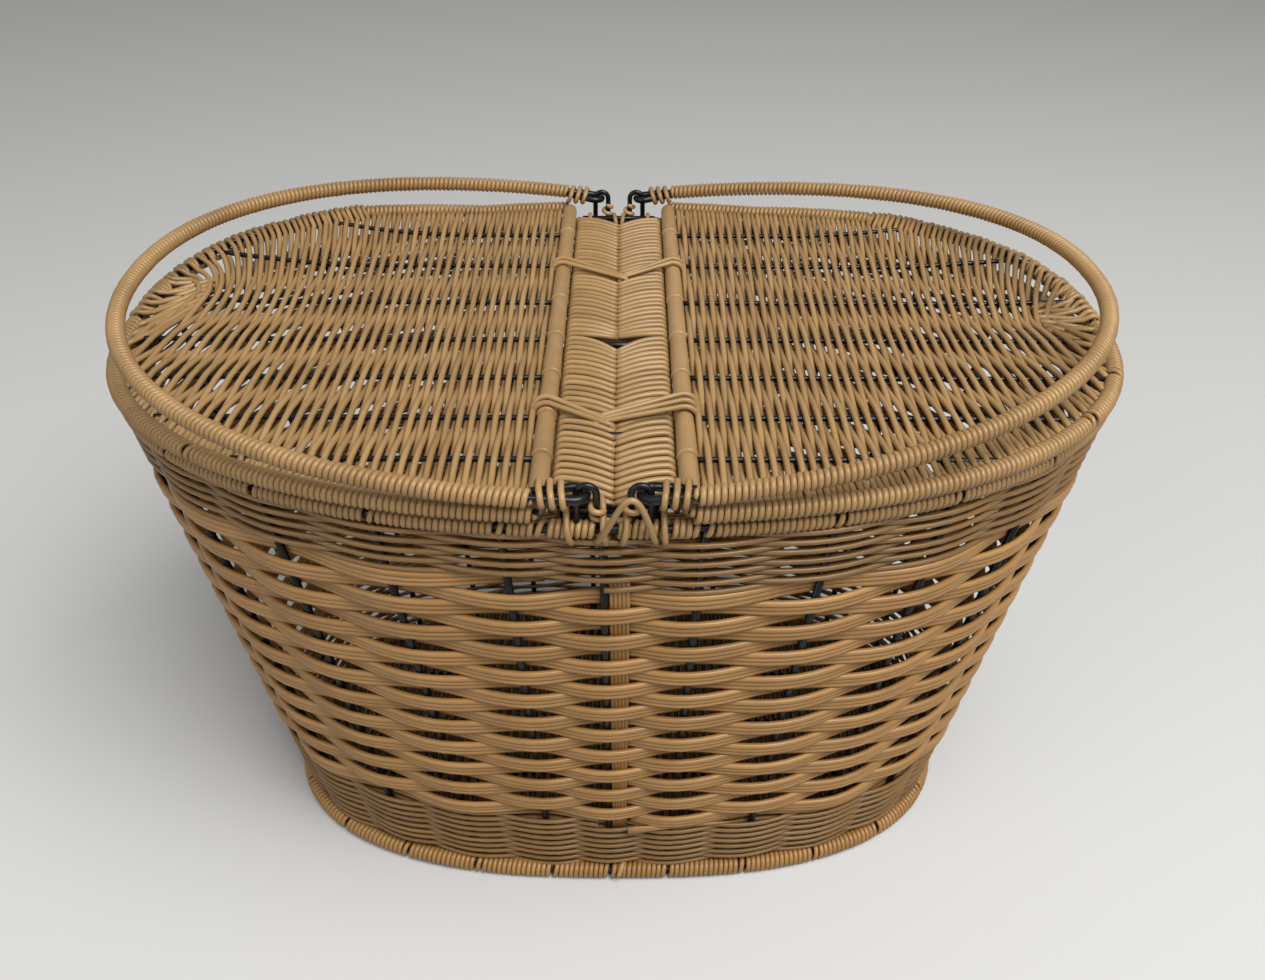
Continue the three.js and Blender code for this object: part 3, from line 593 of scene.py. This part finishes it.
RIM_TURNS = {("left", "front"): ((-0.0175, 0.0060), (-0.0040, 0.0040)),
             ("right", "front"): ((0.0050, -0.0060), (0.0185, 0.0020)),
             ("left", "rear"): ((-0.0169, 0.0020), (-0.0030, 0.0050)),
             ("right", "rear"): ((0.0169, -0.0020), (0.0030, -0.0050))}
LOOSE_LOOP_X = (-0.0075, 0.0160)
LOOSE_LOOP_SKEW = 0.75
LOOSE_LOOP_FOOT = 0.2440
LOOSE_LOOP_RISE = 0.0245
LOOSE_LOOP_REACH = 0.0095
LOOSE_LOOP_BULGE = 0.4
LOOSE_LOOP_POINTS = 25
TURN_SIDES = 20


def tie_strand(side, tube_y, valley_y, tail_x):
    """A strand up round the hinge tube and across the strip, with its end tucked in."""
    bend = np.linspace(*LOOP_BEND, LOOP_POINTS)
    bow_x = HINGE_X + LOOP * np.cos(bend)
    bow_z = LID_HEIGHT + LOOP * np.sin(bend)
    share = np.linspace(0, 1, TAIL_POINTS)[1:]
    run_x = bow_x[-1] + (tail_x - bow_x[-1]) * share
    run_y = tube_y + (valley_y - tube_y) * share
    run_z = bow_z[-1] + (STRIP_HEIGHT + TAIL_RISE - bow_z[-1]) * share
    x = np.concatenate((bow_x, run_x, (tail_x - TAIL_TUCK[0], )))
    y = np.concatenate((np.full(LOOP_POINTS, tube_y), run_y, (valley_y - TAIL_TUCK[1], )))
    z = np.concatenate((bow_z, run_z, (STRIP_HEIGHT - TAIL_TUCK[2], )))
    return np.stack((side * x, y, z), -1)


def loose_loop():
    """A loose loop of cane that stands up from the rim in front of the right hook."""
    share = np.linspace(0, 1, LOOSE_LOOP_POINTS)
    arch = np.sin(math.pi * share)
    x = LOOSE_LOOP_X[0] + (LOOSE_LOOP_X[1] - LOOSE_LOOP_X[0]) * share ** LOOSE_LOOP_SKEW
    y = -RIM_OVAL[1] - LOOSE_LOOP_REACH * arch ** LOOSE_LOOP_BULGE
    return np.stack((x, y, LOOSE_LOOP_FOOT + LOOSE_LOOP_RISE * arch), -1)


def oblong(centre_a, centre_b, radius, turns, pitch, normal, start):
    """Turns of cane round two equal circles, stepping along the normal."""
    nose = unit(centre_b - centre_a)
    rise = np.cross(normal, nose)
    angle = start + np.linspace(0, 2 * math.pi * turns, int(TURN_SIDES * turns) + 1)
    centre = np.where(np.cos(angle)[:, None] > 0, centre_b, centre_a)
    ring = np.cos(angle)[:, None] * nose + np.sin(angle)[:, None] * rise
    step = ((angle - start) / (2 * math.pi) - turns / 2) * pitch
    return centre + radius * ring + step[:, None] * normal


for end_name, end in ENDS:
    wire_y = LID_WIRES_Y[1] if end < 0 else LID_WIRES_Y[-2]
    tie_y = wire_y - end * TIE_FROM_WIRE
    for side_name, side in SIDES:
        turns = TIE_TURNS[side_name, end_name]
        tie_runs = []
        for turn in range(turns):
            tube_y = tie_y + (turn - (turns - 1) / 2) * TIE_PITCH
            valley_y = tie_y - TAIL_SLANT + (turn + TAIL_STAGGER * side) * VALLEY_PITCH
            tie_runs.append(tie_strand(side, tube_y, valley_y, TAIL_X[side_name, end_name]))
        tie = tubes(f"{side_name}_{end_name}_tie", tie_runs, STRAND / 2, facing=ALONG_Y)
        settle(tie, "basket", "cane", CANE_FINISH, f"{side_name}_{end_name}_hinge_tie")
        rim_runs = []
        for x, slant in RIM_TURNS[side_name, end_name]:
            rim_centre = np.array((x, end * oval_y(RIM_OVAL, x), RIM_HEIGHT))
            bar_height = STRIP_HEIGHT - (REAR_TURN_DROP if end > 0 else 0)
            bar_centre = np.array((x, end * STRIP_END, bar_height))
            bar_centre = bar_centre + unit(rim_centre - bar_centre) * (RIM_LOOP - STRAND / 2 - BAR_GRIP)
            start = -end * math.pi / 2
            rim_runs.append(oblong(bar_centre, rim_centre, RIM_LOOP, 1.0, slant, ALONG_X, start))
        facing = [ALONG_X] * len(rim_runs)
        if (side_name, end_name) == ("right", "front"):
            rim_runs.append(loose_loop())
            facing.append(ALONG_Y)
        rim_turn = tubes(f"{side_name}_{end_name}_rim_turn", rim_runs, STRAND / 2, facing=facing)
        settle(rim_turn, "basket", "cane", CANE_FINISH, f"{side_name}_{end_name}_rim_tie")

# Wire arches on the rim that carry the handles' hooks.
# Each is a short staple of black wire with its legs welded to the rim wire, under the binding.
# A strand of cane is twisted round the inner leg and runs down to the middle of the rim.
PIVOT_X = 0.010
PIVOT_HEIGHT = 0.2650
ARCH_WIRE = 0.0028
ARCH_CLEARANCE = 0.0008
ARCH_RADIUS = WIRE / 2 + ARCH_CLEARANCE + ARCH_WIRE / 2
ARCH_Y = oval_y(RIM_OVAL, PIVOT_X)
ARCH_POINTS = 13
LEG_TURNS = (0.2545, 0.2612)
LEG_POINTS = 9
TWIST_PITCH = 0.0042
TWIST_END_SHARE = 0.2
TWIST_END_IN = 0.0010
TWIST_END_RISE = 0.0030
TWIST_END_POINTS = 8
OFF_TWIST = np.array((0.1, 0.2, 0.97))
for end_name, end in ENDS:
    for side_name, side in SIDES:
        bend = np.linspace(0, math.pi, ARCH_POINTS)
        x = side * PIVOT_X + ARCH_RADIUS * np.cos(bend)
        z = PIVOT_HEIGHT + ARCH_RADIUS * np.sin(bend)
        x = np.concatenate((x[:1], x, x[-1:]))
        z = np.concatenate(([RIM_HEIGHT], z, [RIM_HEIGHT]))
        run = np.stack((x, np.full_like(x, end * ARCH_Y), z), -1)
        arch = tubes(f"{side_name}_{end_name}_staple", [run], ARCH_WIRE / 2, facing=ALONG_Y)
        settle(arch, "basket", "wire", WIRE_FINISH, f"{side_name}_{end_name}_arch")
        leg_x = side * (PIVOT_X - ARCH_RADIUS)
        leg_z = np.linspace(*LEG_TURNS, LEG_POINTS)
        leg = np.stack((np.full_like(leg_z, leg_x), np.full_like(leg_z, end * ARCH_Y), leg_z), -1)
        leg_out = np.tile(ALONG_Y * end, (LEG_POINTS, 1))
        coil, _ = wound(leg, leg_out, TWIST_PITCH, radius=(ARCH_WIRE + STRAND) / 2)
        foot_end = np.array((TWIST_END_SHARE * leg_x, end * (ARCH_Y - TWIST_END_IN),
                             RIM_HEIGHT + TWIST_END_RISE))
        foot = foot_end + np.linspace(0, 1, TWIST_END_POINTS)[:-1, None] * (coil[0] - foot_end)
        twist = tubes(f"{side_name}_{end_name}_staple_turns", [np.vstack((foot, coil))], STRAND / 2,
                      facing=OFF_TWIST)
        settle(twist, "basket", "cane", CANE_FINISH, f"{side_name}_{end_name}_rim_tie")

# Lids: each a D of black wire with seven cross wires, woven with cane from front to rear and bound.
# The strands spread towards the tip, and at the rear their own ends are wound round the rim there.
# A smooth plastic tube, slit at each cross wire, is clipped on the hinge wire.
LID_OVAL = (0.2280, 0.1620, 2.2)
LID_ARC_POINTS = 241
LID_WIRE_POINTS = 16
LID_LIFT = {"left": 0.0080, "right": 0.0050}
LIFT_TO_RIM = (0.55, 1.0)
LIFT_Y = (0.0, 0.08)
LIFT_X = (0.08, 0.15)
LID_STRANDS = 73
LID_STRAND = 0.0028
LID_SWING = 0.0020
LID_JITTER = 0.00015
MAT_MARGIN = 0.0015
FIRST_STRAND = 0.0342
LAST_STRAND = 0.2085
STRAND_SPREAD = 0.0160
SPREAD_GROWTH = 1.5
BEND_POWER = 2.2
BEND_EASE = 0.9
APEX_Y = {"left": 0.030, "right": 0.004}
TIP_STRANDS = 13
TIP_OVERLAP = 0.006
TIP_SWING = 0.5 * LID_SWING
FAN = 0.031
FAN_MIDDLE_Y = 0.005
FAN_START = 0.45
FAN_GROWTH = 0.55
FAN_POINTS = 8
WRAP_FROM = 0.140
WRAP_OVERLAP = 0.004
WRAP_RADIUS = 0.0030
WRAP_JITTER = (-0.0002, 0.0005)
WRAP_PITCH = 0.0036
WRAP_BEND = (125, -140)
WRAP_POINTS = 11
WOUND_TO_Y = 0.004
TIP_PITCH = 0.0033
TIP_SHARE = 0.6
LID_GAPS = {"left": ((-0.118, 0.0030), ), "right": ((-0.092, 0.0045), (-0.052, 0.0045))}
SLEEVE_FLARE = 0.0008
FLARE_LENGTH = 0.0035
SLEEVE_GROOVE = 0.0026
GROOVE_WIDTH = 0.0006
GROOVE_Y = (-0.0040, *np.arange(-0.0028, 0.0029, 0.0002), 0.0040)
END_ROUND = (0.0, 0.02, 0.06, 0.15, 0.3, 0.5, 0.75, 1.0)
END_CLOSED = 0.98


def lid_arc(side):
    """A lid's rim from its front corner round the tip to the rear, and the directions out of it."""
    corner = math.acos((HINGE_X / LID_OVAL[0]) ** (LID_OVAL[2] / 2))
    angles = np.linspace(-corner, corner, LID_ARC_POINTS)
    return oval_points(LID_OVAL, angles if side > 0 else math.pi - angles, LID_HEIGHT)


def lifted(side_name, points):
    """The rear outer part of each lid's rim stands up a little."""
    points = np.asarray(points, float)
    x, y = np.abs(points[:, 0]), points[:, 1]
    ramp = lambda value, low, high: np.clip((value - low) / (high - low), 0, 1)
    to_rim = (x / LID_OVAL[0]) ** LID_OVAL[2] + (np.abs(y) / LID_OVAL[1]) ** LID_OVAL[2]
    rise = ramp(to_rim, *LIFT_TO_RIM) * ramp(y, *LIFT_Y) * ramp(x, *LIFT_X)
    return points + (LID_LIFT[side_name] * rise)[:, None] * UP


RIM_PATH, RIM_PATH_OUT = lid_arc(1)
RIM_LENGTHS = path_lengths(RIM_PATH)


def rim_wrap(rim_y, next_y):
    """The end of a strand, wound along the rim wire as far as the end of the next strand."""
    start, stop = np.interp((rim_y, next_y), RIM_PATH[:, 1], RIM_LENGTHS)
    turns = max(1, round((stop - start) / WRAP_PITCH))
    count = WRAP_POINTS + TURN_POINTS * (turns - 1)
    bend = np.radians(np.linspace(WRAP_BEND[0], WRAP_BEND[1] - 360 * (turns - 1), count))[:, None]
    place = np.linspace(start, stop - WRAP_PITCH if turns > 1 else start, count)
    spot = np.stack([np.interp(place, RIM_LENGTHS, RIM_PATH[:, k]) for k in range(3)], -1)
    out = np.stack([np.interp(place, RIM_LENGTHS, RIM_PATH_OUT[:, k]) for k in range(3)], -1)
    radius = WRAP_RADIUS + rng.uniform(*WRAP_JITTER)
    return spot + radius * (np.cos(bend) * out + np.sin(bend) * UP)


def lid_runs(side_name, side):
    """The strands of one lid: those from front to rear, then a fan that fills the tip."""
    inner = (LID_OVAL[0] - MAT_MARGIN, LID_OVAL[1] - MAT_MARGIN, LID_OVAL[2])
    runs = []
    next_y = LID_OVAL[1]
    for i in range(LID_STRANDS):
        share = i / (LID_STRANDS - 1)
        middle_x = FIRST_STRAND + (LAST_STRAND - FIRST_STRAND) * share + rng.normal(0, LID_JITTER)
        end_x = middle_x + STRAND_SPREAD * share ** SPREAD_GROWTH
        end_y = oval_y(inner, end_x)
        v = np.linspace(-1, 1, max(8, int(2 * end_y / STRAND_STEP)))
        x = middle_x + (end_x - middle_x) * np.abs(v) ** (BEND_POWER - BEND_EASE * share)
        y = v * end_y + APEX_Y[side_name] * share ** 2 * (1 - v * v)
        z = LID_HEIGHT + over_under(y, LID_WIRES_Y, i, LID_SWING) * settle_ends(v)
        run = np.stack((x, y, z), -1)
        if end_x > WRAP_FROM:
            run = np.vstack((run[:-1], rim_wrap(end_y, next_y)))
        runs.append(run)
        next_y = end_y
    for i, v in enumerate(np.linspace(-1, 1, TIP_STRANDS)):
        s = np.linspace(0, 1, FAN_POINTS)
        rim_y = FAN_MIDDLE_Y + FAN * v
        y = APEX_Y[side_name] * (1 - s) + rim_y * (FAN_START + FAN_GROWTH * s)
        x = LAST_STRAND - TIP_OVERLAP + (oval_x(inner, rim_y) - LAST_STRAND + TIP_OVERLAP) * s
        z = LID_HEIGHT + (TIP_SWING if i % 2 else -TIP_SWING) * np.cos(math.pi * s)
        run = np.stack((x, y, z), -1)
        if rim_y > WOUND_TO_Y:
            run = np.vstack((run[:-1], rim_wrap(rim_y, rim_y + 2 * FAN / (TIP_STRANDS - 1))))
        runs.append(run)
    return [lifted(side_name, run * (side, 1, 1)) for run in runs]


def hinge_sleeve(side_name, side):
    """A smooth tube in lengths that flare and part at each cross wire, with rounded ends."""
    half = oval_y(LID_OVAL, HINGE_X) - STRAND / 2
    at_joints = (np.array(LID_WIRES_Y)[:, None] + np.array(GROOVE_Y)).ravel()
    near_end = half - BOUND * np.array(END_ROUND)
    y = np.sort(np.concatenate((at_joints, near_end, -near_end)))
    beyond_joint = y[:, None] - np.array(LID_WIRES_Y)
    from_joint = np.min(np.abs(beyond_joint), axis=1)
    flare = np.max(np.where(beyond_joint > 0, np.exp(-beyond_joint / FLARE_LENGTH), 0), axis=1)
    radius = BOUND + SLEEVE_FLARE * flare - SLEEVE_GROOVE * np.exp(-(from_joint / GROOVE_WIDTH) ** 2)
    from_end = half - np.abs(y)
    radius = radius * np.sqrt(1 - np.clip(1 - from_end / BOUND, 0, END_CLOSED) ** 2)
    run = np.stack((np.full_like(y, side * HINGE_X), y, np.full_like(y, LID_HEIGHT)), -1)
    return tubes(f"{side_name}_hinge_sleeve", [run], radius, sides=20)


for side_name, side in SIDES:
    body = f"{side_name}_lid"
    arc, arc_out = lid_arc(side)
    arc = lifted(side_name, arc)
    wires = []
    for y in LID_WIRES_Y:
        ends = (side * HINGE_X, y, LID_HEIGHT), (side * oval_x(LID_OVAL, y), y, LID_HEIGHT)
        wires.append(lifted(side_name, np.linspace(*ends, LID_WIRE_POINTS)))
    lid_wires = tubes(f"{side_name}_lid_wires", [arc, [arc[0], arc[-1]], *wires], CROSS_WIRE / 2)
    settle(lid_wires, body, "wire", WIRE_FINISH, f"{side_name}_lid_frame")
    near_tip = np.clip(1 - np.abs(arc[:, 1]) / (TIP_SHARE * LID_OVAL[1]), 0, 1)
    pitch = STRAND + (TIP_PITCH - STRAND) * near_tip
    front = arc[:, 1] < WOUND_TO_Y
    rear = (arc[:, 1] > 0) & (np.abs(arc[:, 0]) < WRAP_FROM + WRAP_OVERLAP)
    front_lengths = path_lengths(arc[front])
    gaps = [(np.interp(y, arc[front, 1], front_lengths), size) for y, size in LID_GAPS[side_name]]
    front_coil, front_along = wound(arc[front], arc_out[front], pitch[front], gaps)
    rear_coil, rear_along = wound(arc[rear], arc_out[rear])
    lid_winding = tubes(f"{side_name}_lid_winding", [front_coil, rear_coil], STRAND / 2,
                        facing=[front_along, rear_along], sides=6)
    settle(lid_winding, body, "cane", CANE_FINISH, f"{side_name}_lid_binding")
    lid_weave = tubes(f"{side_name}_lid_weave", lid_runs(side_name, side), LID_STRAND / 2, sides=6)
    settle(lid_weave, body, "cane", CANE_FINISH, f"{side_name}_lid_mat")
    settle(hinge_sleeve(side_name, side), body, "cane", CANE_FINISH, f"{side_name}_hinge_tube")

# Handles: a bow of black wire bound with cane, hooked at both ends through the arches.
# The bare hook shows black, and a few loose turns of the same cane close it.
HANDLE_REACH = 0.211
HOOK_RADIUS = 0.0047
HANDLE_HALF_Y = ARCH_Y + HOOK_RADIUS
HANDLE_POWER = 2.13
HANDLE_TILT = math.radians(5.6)
HOOK_LEG = 0.020
HOOK_CLOSED = 0.0046
HANDLE_BARE = 0.0195
BOW_LEAN = 0.0070
BOW_TWIST = 0.045
LASHING_AT = 0.0132
LASHING_TURNS = 3
LASHING_PITCH = 0.0040
LASHING_SPAN = 1.3
ROD = 0.0038
ROD_POINTS = 121
BINDING_POINTS = 241
HOOK_POINTS = 12
OFF_ROD = np.array((0.0, 0.02, 1.0))
OFF_LASHING = ALONG_X * 0.98 + UP * 0.1
BOW_OVAL = (HANDLE_REACH - HOOK_RADIUS, HANDLE_HALF_Y, HANDLE_POWER)


def on_handle(side, points):
    """Places points of a handle that lies flat, with its axis on Y, at its rest tilt."""
    x, y, z = np.asarray(points, float).T
    reach = x * math.cos(HANDLE_TILT) - z * math.sin(HANDLE_TILT)
    rise = x * math.sin(HANDLE_TILT) + z * math.cos(HANDLE_TILT)
    return np.stack((side * (PIVOT_X + reach), y, PIVOT_HEIGHT + rise), -1)


def leaned(side_name, points):
    """The left bow has been pulled a little out of true, towards the front and down."""
    if side_name == "right":
        return points
    share = np.clip(points[:, 0] / HANDLE_REACH, 0, 1)
    return points + np.stack((0 * share, -BOW_LEAN * share, BOW_TWIST * points[:, 1] * share), -1)


def bow(limit, count):
    """Points of the bow as far as an angle on either side, and the directions out of it."""
    points, out = oval_points(BOW_OVAL, np.linspace(-limit, limit, count), 0.0)
    return points + HOOK_RADIUS * ALONG_X, out


def hook(end):
    """The hook that one end of the bow is bent into, from its tip."""
    bend = np.linspace(0, math.pi, HOOK_POINTS + 1)[:-1]
    curl = np.stack((HOOK_RADIUS * (1 - np.sin(bend)),
                     end * (HANDLE_HALF_Y - HOOK_RADIUS * (1 + np.cos(bend))),
                     np.zeros(HOOK_POINTS)), -1)
    tip = [(HOOK_LEG, end * (HANDLE_HALF_Y - HOOK_CLOSED), 0.0)]
    return np.vstack((tip, curl))


for side_name, side in SIDES:
    body = f"{side_name}_handle"
    whole, _ = bow(math.pi / 2, ROD_POINTS)
    rod = np.vstack((hook(-1), whole, hook(1)[::-1]))
    handle_wire = tubes(f"{side_name}_handle_rod", [on_handle(side, leaned(side_name, rod))], ROD / 2,
                        facing=OFF_ROD)
    settle(handle_wire, body, "wire", WIRE_FINISH, f"{side_name}_handle_wire")
    bound = math.acos(((HANDLE_BARE - HOOK_RADIUS) / BOW_OVAL[0]) ** (HANDLE_POWER / 2))
    core, core_out = bow(bound, BINDING_POINTS)
    origin = on_handle(side, np.zeros((1, 3)))
    handle_winding = winding(f"{side_name}_handle_winding", on_handle(side, leaned(side_name, core)),
                             on_handle(side, core_out) - origin)
    settle(handle_winding, body, "cane", CANE_FINISH, f"{side_name}_handle_binding")
    for end_name, end in ENDS:
        outer = np.array((LASHING_AT, end * HANDLE_HALF_Y, 0.0))
        inner = outer - end * LASHING_SPAN * HOOK_CLOSED * ALONG_Y
        turns = oblong(inner, outer, (ROD + STRAND) / 2, LASHING_TURNS, end * LASHING_PITCH, end * ALONG_X,
                       -math.pi / 2)
        lashing = tubes(f"{side_name}_{end_name}_hook_turns", [on_handle(side, turns)], STRAND / 2,
                        facing=OFF_LASHING)
        settle(lashing, body, "cane", CANE_FINISH, f"{side_name}_{end_name}_lashing")

# Studio: a pale matt floor that throws little light back on the basket.
# A large soft lamp hangs at the upper right and a weaker one at the left.
# The camera stands a little above the basket, at its front.
FLOOR_SIZE = 12
FLOOR_TONE = (0.58, 0.58, 0.57, 1.0)
FLOOR_BOUNCE = (0.26, 0.26, 0.25, 1.0)
LAMPS_FACE = (0, 0, 0.1)
SKY_TONE = (1.0, 0.99, 0.97, 1.0)
SKY_STRENGTH = 0.34
LENS_PIXELS = 1222.5
IMAGE_WIDTH = 1265
SENSOR = 36.0
CAMERA_AT = (0.0042, -0.5314, 0.5051)
CAMERA_PITCH = 0.569
CAMERA_YAW = 0.007
CAMERA_ROLL = 0.007

bpy.ops.object.select_all(action="DESELECT")
bpy.ops.mesh.primitive_plane_add(size=FLOOR_SIZE)
floor = bpy.context.object
floor.name = "floor"
floor_finish = bpy.data.materials.new("pale_floor")
floor_finish.use_nodes = True
floor_shader = floor_finish.node_tree.nodes["Principled BSDF"]
floor_shader.inputs["Roughness"].default_value = 0.9
floor_link = floor_finish.node_tree.links.new
floor_rays = shader(floor_finish, "ShaderNodeLightPath")
floor_seen = shader(floor_finish, "ShaderNodeMath")
floor_seen.operation = "MAXIMUM"
floor_link(floor_rays.outputs["Is Camera Ray"], floor_seen.inputs[0])
floor_link(floor_rays.outputs["Is Glossy Ray"], floor_seen.inputs[1])
floor_colour = shader(floor_finish, "ShaderNodeMixRGB", Color1=FLOOR_BOUNCE, Color2=FLOOR_TONE)
floor_link(floor_seen.outputs["Value"], floor_colour.inputs["Fac"])
floor_link(floor_colour.outputs["Color"], floor_shader.inputs["Base Color"])
floor.data.materials.append(floor_finish)


def soft_lamp(name, place, size, watts):
    """A square lamp that faces the basket."""
    bpy.ops.object.light_add(type="AREA", location=place)
    lamp = bpy.context.object
    lamp.name = name
    lamp.data.size = size
    lamp.data.energy = watts
    lamp.rotation_euler = (Vector(LAMPS_FACE) - Vector(place)).to_track_quat("-Z", "Y").to_euler()


soft_lamp("key_lamp", place=(0.75, -1.0, 2.0), size=1.4, watts=62)
soft_lamp("fill_lamp", place=(-1.5, -1.3, 1.3), size=1.6, watts=12)
world = bpy.data.worlds.new("studio")
world.use_nodes = True
sky = world.node_tree.nodes["Background"]
sky.inputs["Color"].default_value = SKY_TONE
sky.inputs["Strength"].default_value = SKY_STRENGTH
bpy.context.scene.world = world
bpy.context.scene.view_settings.view_transform = "Standard"

forward = np.array((math.sin(CAMERA_YAW) * math.cos(CAMERA_PITCH),
                    math.cos(CAMERA_YAW) * math.cos(CAMERA_PITCH), -math.sin(CAMERA_PITCH)))
level = np.array((math.cos(CAMERA_YAW), -math.sin(CAMERA_YAW), 0.0))
upright = np.cross(level, forward)
camera_x = math.cos(CAMERA_ROLL) * level + math.sin(CAMERA_ROLL) * upright
camera_y = math.cos(CAMERA_ROLL) * upright - math.sin(CAMERA_ROLL) * level
camera = bpy.data.objects.new("camera", bpy.data.cameras.new("camera"))
bpy.context.collection.objects.link(camera)
camera.data.sensor_width = SENSOR
camera.data.lens = SENSOR * LENS_PIXELS / IMAGE_WIDTH
turn = np.eye(4)
turn[:3, :3] = np.stack((camera_x, camera_y, -forward), -1)
turn[:3, 3] = CAMERA_AT
camera.matrix_world = Matrix(turn.tolist())
bpy.context.scene.camera = camera
